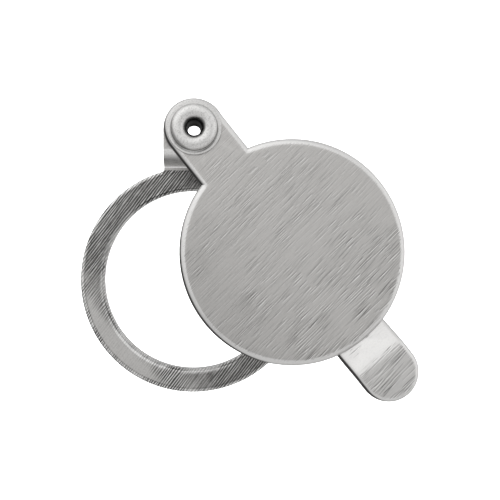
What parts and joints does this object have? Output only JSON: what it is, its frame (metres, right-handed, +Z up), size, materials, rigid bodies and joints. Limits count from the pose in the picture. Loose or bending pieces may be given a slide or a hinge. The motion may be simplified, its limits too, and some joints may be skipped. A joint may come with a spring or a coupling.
{
  "type": "door viewer swivel cover",
  "caption": "Round privacy cover that swings on a hollow rivet in front of a flat ring clamped under a door viewer, with a finger tab.",
  "frame": {"origin": "centre of the ring's bore, on the back face that lies against the door", "axes": "+Z up from the bore towards the rivet, -Y out of the door into the room, +X to the right as seen from the room"},
  "size_m": [0.027, 0.0044, 0.0241],
  "materials": {
    "ring_steel": "brushed",
    "cover_steel": "brushed",
    "rivet_steel": "satin",
    "washer_steel": "satin"
  },
  "bodies": {
    "ring": {"mounting_ring": "ring_steel", "hollow_rivet": "rivet_steel", "rim_washer": "washer_steel"},
    "cover": {"swing_cover": "cover_steel"}
  },
  "joints": [
    {"name": "cover_swing", "type": "hinge", "parent": "ring", "child": "cover", "pos_m": [0, -0.00333, 0.01203], "axis": [0, -1, 0], "continuous": true}
  ]
}
